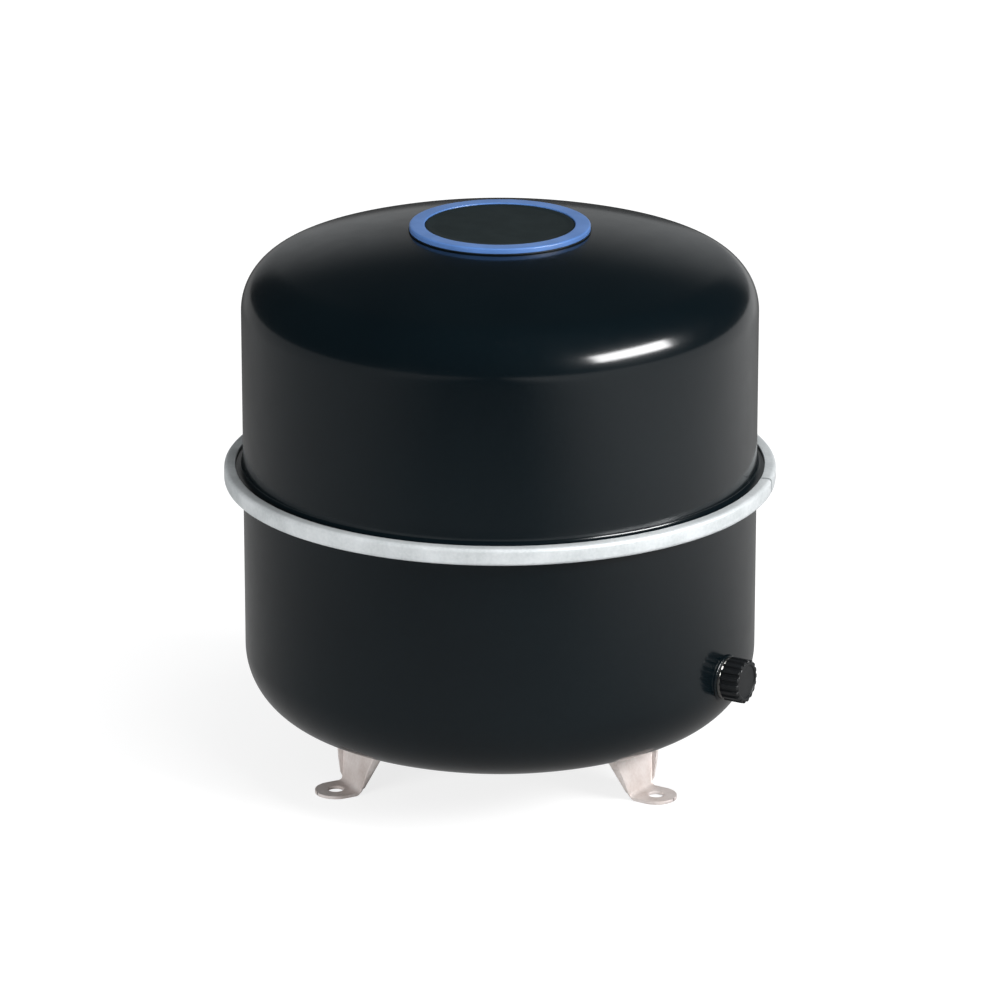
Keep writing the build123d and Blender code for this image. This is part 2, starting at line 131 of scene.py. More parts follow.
def lathe(name, profile, material, body, steps=ROUND_STEPS, crease=35, warp=None):
    """A closed profile of (radius, height) turned round the Z axis."""
    points = []
    for i in range(steps):
        turn = 2 * pi * i / steps
        for radius, height in profile:
            if warp:
                radius, height = warp(radius, height, turn)
            points.append((radius * cos(turn), radius * sin(turn), height))
    faces = loop_faces(steps, len(profile), True, True)
    return mesh_piece(name, points, faces, material, body, crease)


class Shading:
    """A small helper that adds and joins shader nodes in one material."""

    def __init__(self, name):
        self.material = bpy.data.materials.new(name)
        self.material.use_nodes = True
        self.tree = self.material.node_tree
        self.shader = self.tree.nodes["Principled BSDF"]
        self.coordinates = self.add("ShaderNodeTexCoord").outputs["Object"]

    def add(self, kind, **settings):
        node = self.tree.nodes.new(kind)
        for key, value in settings.items():
            setattr(node, key, value)
        return node

    def join(self, source, target):
        self.tree.links.new(source, target)

    def finish(self, **values):
        """Sets plain values on the shader's own sockets."""
        for key, value in values.items():
            self.shader.inputs[key.replace("_", " ")].default_value = value
        return self.material

    def noise(self, scale, detail=3.0, stretch=None, roughness=0.5):
        """Noise in object space, at so many periods a metre, with an optional stretch on each axis."""
        texture = self.add("ShaderNodeTexNoise")
        texture.inputs["Scale"].default_value = scale
        texture.inputs["Detail"].default_value = detail
        texture.inputs["Roughness"].default_value = roughness
        source = self.coordinates
        if stretch:
            mapping = self.add("ShaderNodeMapping")
            mapping.inputs["Scale"].default_value = stretch
            self.join(source, mapping.inputs["Vector"])
            source = mapping.outputs["Vector"]
        self.join(source, texture.inputs["Vector"])
        return texture.outputs["Fac"]

    def ramp(self, source, *stops):
        """A colour ramp with stops of (place, colour); a plain number makes a grey."""
        node = self.add("ShaderNodeValToRGB")
        elements = node.color_ramp.elements
        for index, (place, colour) in enumerate(stops):
            element = elements[index] if index < 2 else elements.new(place)
            element.position = place
            grey = isinstance(colour, (int, float))
            element.color = (colour, colour, colour, 1) if grey else (*colour, 1)
        self.join(source, node.inputs["Fac"])
        return node.outputs["Color"]

    def blend(self, mode, share, first, second):
        """Mixes two colours; each of share, first and second is a socket or a value."""
        node = self.add("ShaderNodeMix", data_type="RGBA", blend_type=mode)
        for value, socket in ((share, node.inputs[0]), (first, node.inputs[6]), (second, node.inputs[7])):
            if isinstance(value, bpy.types.NodeSocket):
                self.join(value, socket)
            else:
                socket.default_value = value if isinstance(value, float) else (*value, 1)
        return node.outputs[2]

    def height(self):
        """The height above the floor, in metres."""
        split = self.add("ShaderNodeSeparateXYZ")
        self.join(self.coordinates, split.inputs[0])
        return split.outputs["Z"]

    def level(self, source, low, high, first=0.0, last=1.0):
        """Runs smoothly from the first value to the last as the source goes from low to high."""
        node = self.add("ShaderNodeMapRange", interpolation_type="SMOOTHSTEP")
        for key, value in {"From Min": low, "From Max": high, "To Min": first, "To Max": last}.items():
            node.inputs[key].default_value = value
        self.join(source, node.inputs["Value"])
        return node.outputs["Result"]

    def total(self, first, second):
        """The sum of two values."""
        node = self.add("ShaderNodeMath", operation="ADD")
        self.join(first, node.inputs[0])
        self.join(second, node.inputs[1])
        return node.outputs[0]

    def bump(self, *layers, edge=None):
        """Stacks bump layers of (height socket, strength, distance in metres), rounding edges first."""
        normal = None
        if edge:
            bevel = self.add("ShaderNodeBevel", samples=6)
            bevel.inputs["Radius"].default_value = edge
            normal = bevel.outputs["Normal"]
        for source, strength, distance in layers:
            node = self.add("ShaderNodeBump")
            node.inputs["Strength"].default_value = strength
            node.inputs["Distance"].default_value = distance
            self.join(source, node.inputs["Height"])
            if normal:
                self.join(normal, node.inputs["Normal"])
            normal = node.outputs["Normal"]
        self.join(normal, self.shader.inputs["Normal"])


def enamel():
    """Gloss black baked enamel with a faint blue-green cast, orange peel and a little dust."""
    s = Shading("black_enamel")
    peel = s.noise(520, 2.0)
    swell = s.noise(26, 2.0)
    dust = s.ramp(s.noise(900, 4.0, roughness=0.7), (0.62, 0.0), (0.78, 1.0))
    cloud = s.noise(7, 3.0)
    base = s.ramp(cloud, (0.3, (0.0012, 0.0032, 0.0046)), (0.7, (0.0018, 0.0044, 0.0060)))
    s.join(s.blend("MIX", dust, base, (0.006, 0.008, 0.009)), s.shader.inputs["Base Color"])
    s.join(s.ramp(s.noise(60, 4.0), (0.3, 0.30), (0.7, 0.42)), s.shader.inputs["Roughness"])
    s.bump((swell, 0.12, 0.0012), (peel, 0.10, 0.00012))
    return s.finish(Coat_Weight=0.95, Coat_Roughness=0.15, Specular_IOR_Level=0.05)


def plated(name, pale, dark, metallic, rough, stretch=None, edge=None):
    """Zinc plate: soft spangle, thin rolling marks and duller patches."""
    s = Shading(name)
    spangle = s.noise(420, 3.0)
    cloud = s.noise(38, 4.0)
    marks = s.noise(700, 2.0, stretch=stretch or (1, 1, 1))
    base = s.ramp(cloud, (0.32, dark), (0.68, pale))
    s.join(s.blend("OVERLAY", 0.35, base, s.ramp(spangle, (0.3, 0.36), (0.7, 0.62))), s.shader.inputs["Base Color"])
    s.join(s.ramp(cloud, (0.3, rough + 0.10), (0.7, rough - 0.06)), s.shader.inputs["Roughness"])
    s.bump((marks, 0.25, 0.00005), (cloud, 0.2, 0.0003), edge=edge)
    return s.finish(Metallic=metallic)


def moulded(name, colour, rough, grain=0.25, edge=0.0003, coat=0.0):
    """Moulded plastic or rubber with a fine grain and a slightly uneven sheen."""
    s = Shading(name)
    fine = s.noise(1700, 2.0)
    cloud = s.noise(45, 3.0)
    darker = tuple(c * 0.82 for c in colour)
    s.join(s.ramp(cloud, (0.3, darker), (0.7, colour)), s.shader.inputs["Base Color"])
    s.join(s.ramp(cloud, (0.3, rough + 0.07), (0.7, rough - 0.05)), s.shader.inputs["Roughness"])
    s.bump((fine, grain, 0.00006), edge=edge)
    return s.finish(Coat_Weight=coat, Coat_Roughness=0.18)


def metal(name, pale, dark, rough):
    """Turned metal with fine rings from the tool and a little tarnish."""
    s = Shading(name)
    cloud = s.noise(160, 4.0)
    rings = s.noise(2600, 1.0, stretch=(0.05, 0.05, 1))
    s.join(s.ramp(cloud, (0.35, dark), (0.65, pale)), s.shader.inputs["Base Color"])
    s.join(s.ramp(cloud, (0.3, rough + 0.1), (0.7, rough)), s.shader.inputs["Roughness"])
    s.bump((rings, 0.25, 0.00003), edge=0.0002)
    return s.finish(Metallic=1.0)


finishes = {
    "black_enamel": enamel(),
    "zinc_ring": plated("zinc_ring", (0.70, 0.73, 0.745), (0.54, 0.57, 0.58), 0.45, 0.42, (0.06, 0.06, 4)),
    "zinc_feet": plated("zinc_feet", (0.76, 0.70, 0.675), (0.60, 0.53, 0.50), 0.3, 0.46, edge=0.0006),
    "nipple_steel": metal("nipple_steel", (0.52, 0.52, 0.51), (0.36, 0.35, 0.33), 0.34),
    "valve_brass": metal("valve_brass", (0.80, 0.60, 0.26), (0.58, 0.40, 0.16), 0.24),
    "pin_steel": metal("pin_steel", (0.70, 0.70, 0.70), (0.55, 0.55, 0.55), 0.20),
    "cap_plastic": moulded("cap_plastic", (0.0075, 0.0085, 0.0095), 0.38),
    "cover_plastic": moulded("cover_plastic", (0.0060, 0.0080, 0.0085), 0.42),
    "cover_blue": moulded("cover_blue", (0.070, 0.160, 0.390), 0.36, grain=0.12, edge=None, coat=0.35),
    "cover_disc_plastic": moulded("cover_disc_plastic", (0.0060, 0.0115, 0.0125), 0.62, grain=0.4, edge=None),
    "diaphragm_rubber": moulded("diaphragm_rubber", (0.018, 0.018, 0.018), 0.66, grain=0.5),
    "seal_rubber": moulded("seal_rubber", (0.022, 0.022, 0.022), 0.55),
}


def head_centres(apex, crown, knuckle, side):
    """Centre heights of a head's crown and knuckle, with the angle from the axis where they meet."""
    knuckle_x = shell_radius - knuckle
    rise = sqrt((crown - knuckle) ** 2 - knuckle_x**2)
    return apex - side * crown, apex - side * (crown - rise), degrees(atan2(knuckle_x, rise))


def head_side(knuckle, knuckle_z, meet, flange, side, inset):
    """Points from the end of the crown over the knuckle and down the wall to the rim."""
    bend = (shell_radius + flange_bend, flange + side * (shell_wall + flange_bend))
    top = (shell_radius - inset, knuckle_z)
    points = arc((shell_radius - knuckle, knuckle_z), knuckle - inset, side * (90 - meet), 0, 22)
    points += span(top, (top[0], bend[1]), 14)
    points += arc(bend, flange_bend + inset, 180, 180 + side * 90, 8)
    points.append((rim_radius, points[-1][1]))
    return points


def lower_points(inset):
    """The lower half's section from the axis to the rim, inset into the sheet."""
    crown_z, knuckle_z, meet = head_centres(bottom_apex, bottom_crown, bottom_knuckle, -1)
    points = arc((0, crown_z), bottom_crown - inset, -90 + 0.2, -90 + meet, 22)[:-1]
    return points + head_side(bottom_knuckle, knuckle_z, meet, lower_flange, -1, inset)


def upper_points(inset):
    """The upper half's section from the recess floor over the crown to the rim."""
    crown_z, knuckle_z, meet = head_centres(top_apex, top_crown, top_knuckle, 1)
    corner = (recess_radius - recess_corner, recess_floor + recess_corner)
    mouth_x = recess_radius + recess_mouth
    rise = sqrt((top_crown - recess_mouth) ** 2 - mouth_x**2)
    mouth_meet = degrees(atan2(mouth_x, rise))
    points = [(boss_hole, recess_floor - inset)]
    points += span((boss_hole, recess_floor - inset), (corner[0], recess_floor - inset), 4)
    points += arc(corner, recess_corner + inset, -90, 0, 8)
    points += arc((mouth_x, crown_z + rise), recess_mouth - inset, 180, 90 - mouth_meet, 8)
    points += arc((0, crown_z), top_crown - inset, 90 - mouth_meet, 90 - meet, 26)[1:-1]
    return points + head_side(top_knuckle, knuckle_z, meet, upper_flange, 1, inset)


def drawn_warp(depth, waves, seed):
    """The faint unevenness of a drawn wall: wide, shallow, and none where the sheet is clamped."""

    def warp(radius, height, turn):
        fade = min(1.0, abs(height - joint_height) / 40) * min(1.0, max(0.0, (radius - 120) / 60))
        shift = sum(sin(k * turn + seed * k) / k for k in waves) * depth * fade
        return radius - abs(shift), height

    return warp


def port_frame(distance):
    """Places a piece built along +Z so that it points out along the water nipple."""
    turn = radians(connection_azimuth)
    along = Vector((cos(turn), sin(turn), 0))
    up = Vector((0, 0, 1))
    side = up.cross(along)
    place = Matrix((side, up, along)).transposed().to_4x4()
    place.translation = along * distance + up * connection_height
    return place


def cut_port_hole(piece):
    """Cuts the round hole for the nipple out of the lower half's wall."""
    ring, depth = 72, 60
    place = port_frame(shell_radius - depth / 2)
    points = [
        place @ Vector(((nipple_radius + 0.1) * cos(2 * pi * i / ring), (nipple_radius + 0.1) * sin(2 * pi * i / ring), z))
        for z in (0, depth)
        for i in range(ring)
    ]
    faces = [(i, (i + 1) % ring, ring + (i + 1) % ring, ring + i) for i in range(ring)]
    faces += [tuple(reversed(range(ring))), tuple(range(ring, 2 * ring))]
    mesh = bpy.data.meshes.new("cutter")
    mesh.from_pydata([p * MM for p in points], [], faces)
    cutter = bpy.data.objects.new("cutter", mesh)
    bpy.context.scene.collection.objects.link(cutter)
    boolean = piece.modifiers.new("hole", "BOOLEAN")
    boolean.object = cutter
    boolean.operation = "DIFFERENCE"
    boolean.solver = "EXACT"
    bpy.context.view_layer.update()
    baked = bpy.data.meshes.new_from_object(piece.evaluated_get(bpy.context.evaluated_depsgraph_get()))
    piece.modifiers.clear()
    piece.data = baked
    bpy.data.objects.remove(cutter)


def make_shells():
    """The two drawn halves as smooth sheets with both their sides."""
    black = finishes["black_enamel"]
    upper = lathe(
        "upper_shell_skin", upper_points(0) + upper_points(shell_wall)[::-1], black, "vessel",
        warp=drawn_warp(0.10, (2, 3, 5), 0.7),
    )
    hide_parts("upper_shell")
    outside, inside = lower_points(0), lower_points(shell_wall)
    lower = lathe(
        "lower_shell_skin", outside + inside[::-1], black, "vessel",
        warp=drawn_warp(0.10, (2, 4, 5), 1.9),
    )
    cut_port_hole(lower)
    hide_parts("lower_shell")


def ring_points():
    """The clench ring's C section: rolled outer corners and lips eased at their ends."""
    low, high = joint_height - ring_half, joint_height + ring_half
    lip = ring_radius - ring_lip_width
    outer = ring_radius - ring_corner
    inner = ring_corner - ring_sheet
    points = arc((lip + 0.6, low + 0.6), 0.6, 180, 270, 4)
    points += arc((outer, low + ring_corner), ring_corner, -90, 0, 10)
    points += arc((outer, high - ring_corner), ring_corner, 0, 90, 10)
    points += arc((lip + 0.6, high - 0.6), 0.6, 90, 180, 4)
    points.append((lip, high - ring_sheet))
    points += arc((outer, high - ring_corner), inner, 90, 0, 4)
    points += arc((outer, low + ring_corner), inner, 0, -90, 4)
    points.append((lip, low + ring_sheet))
    return points


def make_clench_ring():
    """One rolled strip: its lips waver a little, and its two ends stand a small gap apart."""
    gap = ring_gap / ring_radius
    start = radians(ring_gap_azimuth) + gap / 2
    profile = ring_points()
    steps = 2 * ROUND_STEPS
    points = []
    for i in range(steps + 1):
        turn = start + (2 * pi - gap) * i / steps
        wave = noise.noise((cos(turn) * 9, sin(turn) * 9, 0.3))
        ripple = noise.noise((cos(turn) * 40, sin(turn) * 40, 4.1))
        for radius, height in profile:
            lip = max(0.0, (ring_radius - ring_corner - radius) / ring_lip_width)
            radius -= lip * (0.25 * abs(wave) + 0.12 * abs(ripple)) - lip * 0.1
            radius -= 0.10 * abs(wave)
            points.append((radius * cos(turn), radius * sin(turn), height))
    width = len(profile)
    faces = loop_faces(steps + 1, width, False, True)
    faces += [tuple(range(width)), tuple(reversed(range(steps * width, (steps + 1) * width)))]
    ring = mesh_piece("clench_ring_band", points, faces, finishes["zinc_ring"], "vessel", 40)
    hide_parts("clench_ring")


def port_piece(name, layers, columns, radius_at, finish, body, crease=35, closed=True):
    """A piece along the water nipple: layers of (base radius, distance), each swept round its axis."""
    points = []
    for base, distance in layers:
        place = port_frame(distance)
        for j in range(columns):
            turn = 2 * pi * j / columns
            radius = radius_at(base, distance, turn)
            points.append(place @ Vector((radius * cos(turn), radius * sin(turn), 0)))
    faces = loop_faces(len(layers), columns, closed, True)
    piece = mesh_piece(name, points, faces, finishes[finish], body, crease)
    return piece


def rib_swell(turn):
    """How far a cap's rib stands up at an angle: 1 on its flat top, 0 in the groove."""
    pitch = 2 * pi / cap_ribs
    away = abs((turn + pitch / 2) % pitch - pitch / 2) * cap_core
    edge = (away - rib_width / 2 + 0.35) / 0.7
    return 1 - min(1.0, max(0.0, edge)) ** 2 * (3 - 2 * min(1.0, max(0.0, edge)))


def make_port_cap():
    """The ribbed cap: ribs with rounded tops that run out at its base, a rim and a sunk end."""
    end = cap_face + cap_recess
    inner = cap_core - cap_rim
    layers = [(cap_core, cap_start), (cap_core, cap_start + 0.5)]
    layers += [(cap_core, cap_start + 0.5 + (end - cap_start - 1.3) * i / 8) for i in range(1, 9)]
    layers += [(cap_core - 0.25, end - 0.3), (cap_core - 0.8, end), (inner + 0.4, end), (inner, end - 0.25)]
    layers += [(inner - 0.2, cap_face), (2.0, cap_face), (0.02, cap_face), (0.02, cap_face - 1.6)]
    layers += [(cap_bore, cap_face - 1.6), (cap_bore, cap_start + 0.6), (cap_bore + 0.5, cap_start)]

    def radius_at(base, distance, turn):
        if base < inner + 1.5 and not base > inner + 0.2:
            return base
        if base <= cap_bore + 0.5:
            return base
        ease = min(1.0, (distance - cap_start) / 0.5 + 0.3) if distance < cap_start + 0.5 else 1.0
        tail = 1.0 if distance < end - 0.5 else max(0.0, (end - distance) / 0.5) * 0.8 + 0.0
        return base + rib_height * rib_swell(turn) * ease * tail

    cap = port_piece(
        "connection_cap_ribbed", layers, cap_ribs * 20, radius_at, "cap_plastic", "port_cap", 50
    )
    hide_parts("connection_cap")


def make_nipple():
    """The nipple with its pipe thread, a collar eased at its edge and a bore."""
    pitch, depth = 1.814, 1.16
    root = 203.0
    steps = 96
    layers = [(collar_radius, root - 6), (collar_radius, collar_face - 0.5), (collar_radius - 0.5, collar_face)]
    layers += [(nipple_radius - depth, collar_face)]
    rows = int((nipple_end - collar_face) / 0.2)
    layers += [(-1, collar_face + 0.1 + (nipple_end - collar_face - 0.2) * i / rows) for i in range(rows + 1)]
    layers += [(nipple_radius - depth - 0.4, nipple_end), (nipple_bore + 0.5, nipple_end)]
    layers += [(nipple_bore, nipple_end - 0.5), (nipple_bore, root - 6)]

    def radius_at(base, distance, turn):
        if base > 0:
            return base
        phase = (distance / pitch - turn / (2 * pi)) % 1.0
        crest = 1 - abs(2 * phase - 1)
        crest = min(1.0, max(0.0, crest * 1.25 - 0.12))
        fade = min(1.0, (nipple_end - distance) / 1.2, (distance - collar_face) / 0.8)
        return nipple_radius - depth + depth * crest * max(0.0, fade) - 0.02

    nipple = port_piece(
        "connection_nipple_threaded", layers, steps, radius_at, "nipple_steel", "vessel", 25
    )
    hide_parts("connection_nipple")


def foot_section(half_width, flange, share, steps=10):
    """Front and back points (across, outward) of a foot's section: a flat strip turning into a channel."""
    fold, sheet = 3.0, foot_sheet
    front, back = [], []
    side_steps = 6
    for j in range(-steps, steps + 1):
        across = j / steps
        front.append((across * (half_width - fold), 0.0, across * (half_width - fold)))
        back.append((across * (half_width - fold), -sheet, across * (half_width - fold)))
    for j in range(1, side_steps + 1):
        turn = radians(90 * j / side_steps)
        flat = half_width - fold + fold * 0.8 * j / side_steps
        front.append((half_width - fold + 0.5 * sin(turn), 0.5 - 0.5 * cos(turn), flat))
        back.append((half_width - fold + fold * sin(turn), 0.5 - fold * cos(turn), flat))
    front.append((half_width - sheet, max(0.6, flange), half_width))
    back.append((half_width, max(0.6, flange), half_width))
    count = side_steps + 1
    front = [(-a, n, -f) for a, n, f in reversed(front[-count:])] + front
    back = [(-a, n, -f) for a, n, f in reversed(back[-count:])] + back
    blend = lambda point, level: (
        point[2] + (point[0] - point[2]) * share,
        level + (point[1] - level) * share,
    )
    return [blend(p, 0.0) for p in front], [blend(p, -sheet) for p in back]


def leg_reach(across, outward):
    """How far a line up the leg runs, at an offset across and outward, until it meets the head."""
    lean, flare = radians(foot_lean), tan(radians(foot_flare))
    bend = foot_hole_circle - foot_bend_distance
    low, high = 5.0, 90.0
    for _ in range(40):
        middle = (low + high) / 2
        radial = bend - middle * sin(lean) + outward * cos(lean)
        height = middle * cos(lean) + outward * sin(lean)
        wide = across * (foot_pad_radius + middle * flare)
        inside = radial**2 + wide**2 + (height - bottom_centre) ** 2 < (bottom_crown - 0.3) ** 2
        low, high = (low, middle) if inside else (middle, high)
    return high


def make_foot(name, azimuth):
    """One stamped foot: a round-ended pad, a bend, and a flared leg with its sides folded outward."""
    lean, flare = radians(foot_lean), tan(radians(foot_flare))
    bend = foot_hole_circle - foot_bend_distance
    bend_round = 4.0
    corner = bend - foot_sheet * tan(lean)
    turn_angle = pi / 2 - lean
    tangent = bend_round * tan(turn_angle / 2)
    rows = []
    for i in range(1, 13):
        turn = pi / 2 * i / 12
        radial = foot_hole_circle + foot_pad_radius * cos(turn)
        rows.append((radial, foot_sheet, 0.0, 1.0, foot_pad_radius * sin(turn), 0.0, None))
    for radial in (144, 141, 138, corner + tangent):
        rows.append((radial, foot_sheet, 0.0, 1.0, foot_pad_radius, 0.0, None))
    for i in range(1, 9):
        turn = turn_angle * i / 8
        radial = corner + tangent - bend_round * sin(turn)
        height = foot_sheet + bend_round * (1 - cos(turn))
        rows.append((radial, height, sin(turn), cos(turn), foot_pad_radius + 1.2 * i / 8, 0.75 * i / 8, None))
    start = tangent + foot_sheet / cos(lean)
    leg_rows = 16
    rows += [(0, 0, cos(lean), sin(lean), 0, 1.0, i / leg_rows) for i in range(1, leg_rows + 1)]
    points_front, points_back = [], []
    for radial, height, out_r, out_z, half_width, share, climb in rows:
        if climb is None:
            flange = 0.8 * share
            front, back = foot_section(half_width, flange, min(1.0, share))
            for target, section in ((points_front, front), (points_back, back)):
                target.append([(radial + out_r * n, a, height + out_z * n) for a, n in section])
            continue
        row_front, row_back = [], []
        full = foot_pad_radius + 40 * flare
        shape = foot_section(full, foot_flange, 1.0)
        for target, section in ((row_front, shape[0]), (row_back, shape[1])):
            for k, (a, n) in enumerate(section):
                reach = leg_reach(a / full, n)
                distance = start + (reach - start) * climb
                half_width = foot_pad_radius + distance * flare
                flange = 0.8 + (foot_flange - 0.8) * min(1.0, distance / 40)
                local = foot_section(half_width, flange, 0.75 + 0.25 * min(1.0, climb * 3))
                across, outward = local[0 if target is row_front else 1][k]
                radial = bend - distance * sin(lean) + outward * cos(lean)
                target.append((radial, across, distance * cos(lean) + outward * sin(lean)))
        points_front.append(row_front)
        points_back.append(row_back)
    width = len(points_front[0])
    count = len(points_front)
    turn = Matrix.Rotation(radians(azimuth), 4, "Z")
    flat = [turn @ Vector(p) for row in points_front for p in row]
    flat += [turn @ Vector(p) for row in points_back for p in row]
    half = count * width
    faces = []
    for i in range(count - 1):
        for j in range(width - 1):
            a, b = i * width + j, (i + 1) * width + j
            faces.append((a, a + 1, b + 1, b))
            faces.append((half + a, half + b, half + b + 1, half + a + 1))
        for j in (0, width - 1):
            a, b = i * width + j, (i + 1) * width + j
            faces.append((a, b, half + b, half + a) if j == 0 else (b, a, half + a, half + b))
    for i in (0, count - 1):
        for j in range(width - 1):
            a = i * width + j
            faces.append((a + 1, a, half + a, half + a + 1) if i == 0 else (a, a + 1, half + a + 1, half + a))
    piece = mesh_piece(name + "_stamping", flat, faces, finishes["zinc_feet"], "vessel", 30)
    cut_round_hole(piece, turn @ Vector((foot_hole_circle, 0, 0)))
    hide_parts(name)


def cut_round_hole(piece, centre):
    """Cuts a foot's bolt hole, eases its sharp edges and keeps the result as the piece's mesh."""
    ring = 48
    points = [
        (centre[0] + foot_hole_radius * cos(2 * pi * i / ring), centre[1] + foot_hole_radius * sin(2 * pi * i / ring), z)
        for z in (-5, 10)
        for i in range(ring)
    ]
    faces = [(i, (i + 1) % ring, ring + (i + 1) % ring, ring + i) for i in range(ring)]
    faces += [tuple(reversed(range(ring))), tuple(range(ring, 2 * ring))]
    mesh = bpy.data.meshes.new("cutter")
    mesh.from_pydata([Vector(p) * MM for p in points], [], faces)
    cutter = bpy.data.objects.new("cutter", mesh)
    bpy.context.scene.collection.objects.link(cutter)
    boolean = piece.modifiers.new("hole", "BOOLEAN")
    boolean.object = cutter
    boolean.operation = "DIFFERENCE"
    boolean.solver = "EXACT"
    bevel = piece.modifiers.new("ease", "BEVEL")
    bevel.width = 0.35 * MM
    bevel.segments = 2
    bevel.limit_method = "ANGLE"
    bevel.angle_limit = radians(50)
    bpy.context.view_layer.update()
    baked = bpy.data.meshes.new_from_object(piece.evaluated_get(bpy.context.evaluated_depsgraph_get()))
    piece.modifiers.clear()
    piece.data = baked
    baked.shade_smooth()
    baked.set_sharp_from_angle(angle=radians(35))
    bpy.data.objects.remove(cutter)


def make_cover():
    """The coloured ring with soft edges, and the bare disc sunk inside it."""
    low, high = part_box("cover_ring")
    outer, top, bottom = high.x / MM, high.z / MM, low.z / MM
    outer = round(outer, 1)
    inner, lip, seat = outer - 12.0, outer - 2.0, top - 2.2
    profile = arc((outer - 1.3, top - 1.3), 1.3, 0, 90, 8)
    profile += span((outer - 1.3, top), (inner + 0.8, top), 4)
    profile += arc((inner + 0.8, top - 0.8), 0.8, 90, 180, 6)
    profile += [(inner, seat), (lip, seat), (lip, bottom), (outer - 0.3, bottom), (outer, bottom + 0.3)]
    ring = lathe("cover_ring_band", profile, finishes["cover_blue"], "cover", 192)
    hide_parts("cover_ring")
    low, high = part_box("cover_disc")
    edge, top, bottom = round(high.x / MM, 1), high.z / MM, low.z / MM
    profile = [(0.02, bottom), (edge - 0.3, bottom), (edge, bottom + 0.3)]
    profile += arc((edge - 0.4, top - 0.4), 0.4, 0, 90, 4)
    profile += [(edge - 3.0, top), (edge - 3.4, top - 0.15), (edge - 8, top - 0.15), (edge / 2, top - 0.15), (0.02, top - 0.15)]
    disc = lathe("cover_disc_plate", profile, finishes["cover_disc_plastic"], "cover", 192)
    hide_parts("cover_disc")


def tube_piece(name, path, radius_at, finish, body, slot, around=10):
    """A closed bead or wire of varying radius along a list of points."""
    points = []
    count = len(path)
    for i, point in enumerate(path):
        along = (path[min(i + 1, count - 1)] - path[max(i - 1, 0)]).normalized()
        side = along.orthogonal().normalized()
        if abs(along.z) < 0.95:
            side = along.cross(Vector((0, 0, 1))).normalized()
        up = side.cross(along)
        radius = radius_at(i / (count - 1))
        for j in range(around):
            turn = 2 * pi * j / around
            points.append(point + side * radius * cos(turn) + up * radius * sin(turn))
    faces = loop_faces(count, around, False, True)
    faces += [tuple(reversed(range(around))), tuple(range((count - 1) * around, count * around))]
    return mesh_piece(name, points, faces, finishes[finish], body, 60)


def make_collar_weld():
    """The painted weld bead round the nipple's collar, with the small steps that a welder leaves."""
    turn0 = radians(connection_azimuth)
    points, steps, around = [], 150, 10
    for i in range(steps):
        turn = 2 * pi * i / steps
        step = 0.12 * sin(steps / 3.2 * turn) + 0.15 * noise.noise((cos(turn) * 4, sin(turn) * 4, 7.7))
        for j in range(around):
            roll = 2 * pi * j / around
            ring = collar_radius + 0.4 + (1.7 + step) * cos(roll)
            place = port_frame(0)
            point = place @ Vector((ring * cos(turn), ring * sin(turn), 0))
            across = Vector((-sin(turn0), cos(turn0), 0)).dot(point)
            drop = max(0.0, 105.66 - point.z)
            wall = shell_radius - (bottom_knuckle - sqrt(bottom_knuckle**2 - drop**2))
            surface = sqrt(wall**2 - across**2)
            out = surface + 0.2 + (1.5 + step) * sin(roll)
            along = Vector((cos(turn0), sin(turn0), 0))
            points.append(point + along * (out - point.dot(along)))
    faces = loop_faces(steps, around, True, True)
    mesh_piece("collar_weld", points, faces, finishes["black_enamel"], "vessel", 60)


def dress_nodes():
    """Gives every CAD node that stays in view its finish."""
    slots = {row["node"]: row["material_slot"] for row in frame["record"]["subparts"]}
    for name, node in nodes.items():
        finish = finishes[slots[name]]
        for index in range(len(node.data.materials)):
            node.data.materials[index] = finish
        for material_slot in node.material_slots:
            material_slot.material = finish


def area_light(name, azimuth, elevation, distance, size, power, gloss=True, aim=0.25):
    """A softbox that faces the vessel from a direction, in degrees and metres."""
    data = bpy.data.lights.new(name, "AREA")
    data.shape = "RECTANGLE"
    data.size, data.size_y = size
    data.energy = power
    lamp = bpy.data.objects.new(name, data)
    bpy.context.scene.collection.objects.link(lamp)
    a, e = radians(azimuth), radians(elevation)
    lamp.location = (distance * cos(e) * cos(a), distance * cos(e) * sin(a), aim + distance * sin(e))
    lamp.rotation_euler = (Vector((0, 0, aim)) - lamp.location).to_track_quat("-Z", "Y").to_euler()
    lamp.visible_glossy = gloss


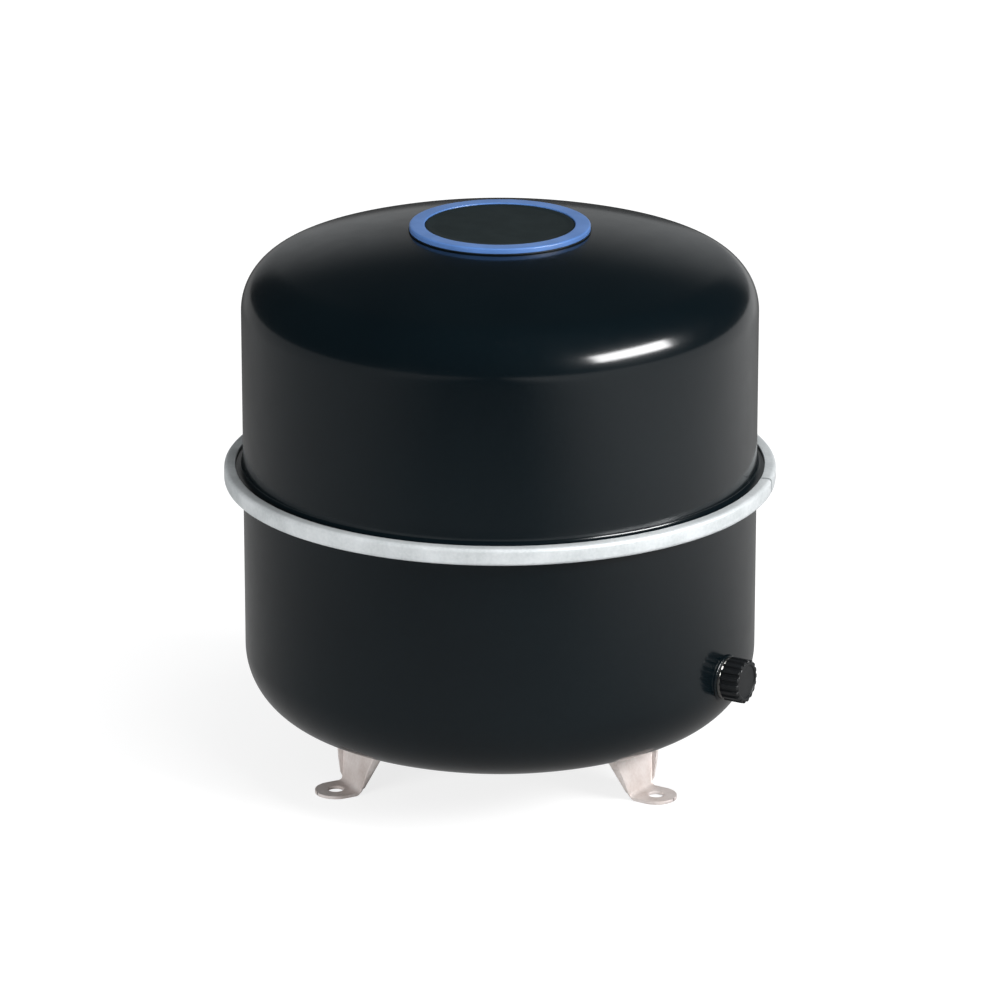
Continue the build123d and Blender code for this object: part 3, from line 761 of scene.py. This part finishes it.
def make_floor():
    """A pale floor: white to the camera with a soft shadow, and darker in the paint's reflections."""
    mesh = bpy.data.meshes.new("floor")
    size = 14.0
    mesh.from_pydata([(-size, -size, 0), (size, -size, 0), (size, size, 0), (-size, size, 0)], [], [(0, 1, 2, 3)])
    floor = bpy.data.objects.new("floor", mesh)
    bpy.context.scene.collection.objects.link(floor)
    floor.location.z = -0.0002
    s = Shading("floor")
    path = s.add("ShaderNodeLightPath")

    def shade(glow, colour):
        """Diffuse of a colour with a little glow of its own."""
        light = s.add("ShaderNodeEmission")
        if isinstance(glow, bpy.types.NodeSocket):
            s.join(glow, light.inputs["Strength"])
        else:
            light.inputs["Strength"].default_value = glow
        matte = s.add("ShaderNodeBsdfDiffuse")
        matte.inputs["Color"].default_value = (colour, colour, colour, 1)
        both = s.add("ShaderNodeAddShader")
        s.join(light.outputs[0], both.inputs[0])
        s.join(matte.outputs[0], both.inputs[1])
        return both.outputs[0]

    def choose(share, first, second):
        node = s.add("ShaderNodeMixShader")
        s.join(share, node.inputs[0])
        s.join(first, node.inputs[1])
        s.join(second, node.inputs[2])
        return node

    place = s.add("ShaderNodeSeparateXYZ")
    s.join(s.coordinates, place.inputs[0])
    away = s.add("ShaderNodeVectorMath", operation="LENGTH")
    s.join(s.coordinates, away.inputs[0])
    near = s.level(away.outputs["Value"], 0.35, 1.7, FLOOR_NEAR, FLOOR_FAR)
    right = s.level(place.outputs["X"], 0.2, 1.2, 0.0, FLOOR_RIGHT)
    left = s.level(place.outputs["X"], -0.35, -1.4, 0.0, FLOOR_LEFT)
    mirrored = s.add("ShaderNodeEmission")
    s.join(s.total(s.total(near, right), left), mirrored.inputs["Strength"])
    unseen = choose(path.outputs["Is Glossy Ray"], shade(0.0, 0.55), mirrored.outputs[0])
    pale = s.level(away.outputs["Value"], 1.0, 2.6, 0.80, 1.0)
    mix = choose(path.outputs["Is Camera Ray"], unseen.outputs[0], shade(pale, 0.28))
    output = s.tree.nodes["Material Output"]
    s.join(mix.outputs[0], output.inputs["Surface"])
    mesh.materials.append(s.material)


def make_world():
    """A studio: white to the camera, an even fill, and for gloss a pale backdrop in a dim room."""
    world = bpy.data.worlds.new("studio")
    bpy.context.scene.world = world
    world.use_nodes = True
    tree = world.node_tree
    background = tree.nodes["Background"]
    path = tree.nodes.new("ShaderNodeLightPath")
    place = tree.nodes.new("ShaderNodeTexCoord")
    split = tree.nodes.new("ShaderNodeSeparateXYZ")
    tree.links.new(place.outputs["Generated"], split.inputs[0])

    def level(source, low, high, dim, bright, kind="LINEAR"):
        node = tree.nodes.new("ShaderNodeMapRange")
        node.interpolation_type = kind
        values = {"From Min": low, "From Max": high, "To Min": dim, "To Max": bright}
        for key, value in values.items():
            if isinstance(value, bpy.types.NodeSocket):
                tree.links.new(value, node.inputs[key])
            else:
                node.inputs[key].default_value = value
        tree.links.new(source, node.inputs["Value"])
        return node.outputs[0]

    backdrop = level(split.outputs["Y"], BACKDROP_FROM, BACKDROP_FULL, ROOM_GLOSS, BACKDROP_GLOSS, "SMOOTHSTEP")
    gloss = level(path.outputs["Is Glossy Ray"], 0.0, 1.0, FILL_LEVEL, backdrop)
    tree.links.new(level(path.outputs["Is Camera Ray"], 0.0, 1.0, gloss, 1.0), background.inputs["Strength"])
    background.inputs["Color"].default_value = (0.96, 0.985, 1.0, 1)
    world.cycles.sampling_method = "NONE"


def make_camera():
    """The photograph's view: a long lens, 18.4 degrees above the vessel's middle."""
    azimuth, elevation, distance = radians(-90 + 2.65), radians(18.4), 4.763
    aimed_from, aim = 0.2415, Vector((0, 0, 0.2221))
    data = bpy.data.cameras.new("camera")
    data.lens = 216.2
    data.sensor_width = 36
    camera = bpy.data.objects.new("camera", data)
    bpy.context.scene.collection.objects.link(camera)
    flat = distance * cos(elevation)
    camera.location = (flat * cos(azimuth), flat * sin(azimuth), aimed_from + distance * sin(elevation))
    camera.rotation_euler = (aim - camera.location).to_track_quat("-Z", "Y").to_euler()
    bpy.context.scene.camera = camera


make_shells()
make_clench_ring()
make_port_cap()
make_nipple()
make_collar_weld()
for foot_name, foot_azimuth in foot_azimuths.items():
    make_foot(foot_name, foot_azimuth)
make_cover()
dress_nodes()
make_floor()
make_world()
make_camera()
area_light("key_softbox", -27, 25, 2.4, (1.5, 0.55), 75)
area_light("front_fill", -128, 8, 2.8, (1.4, 0.9), 62, gloss=False)
area_light("overhead", -50, 68, 2.6, (1.4, 1.4), 50, gloss=False)

bpy.context.scene.view_settings.view_transform = "Standard"
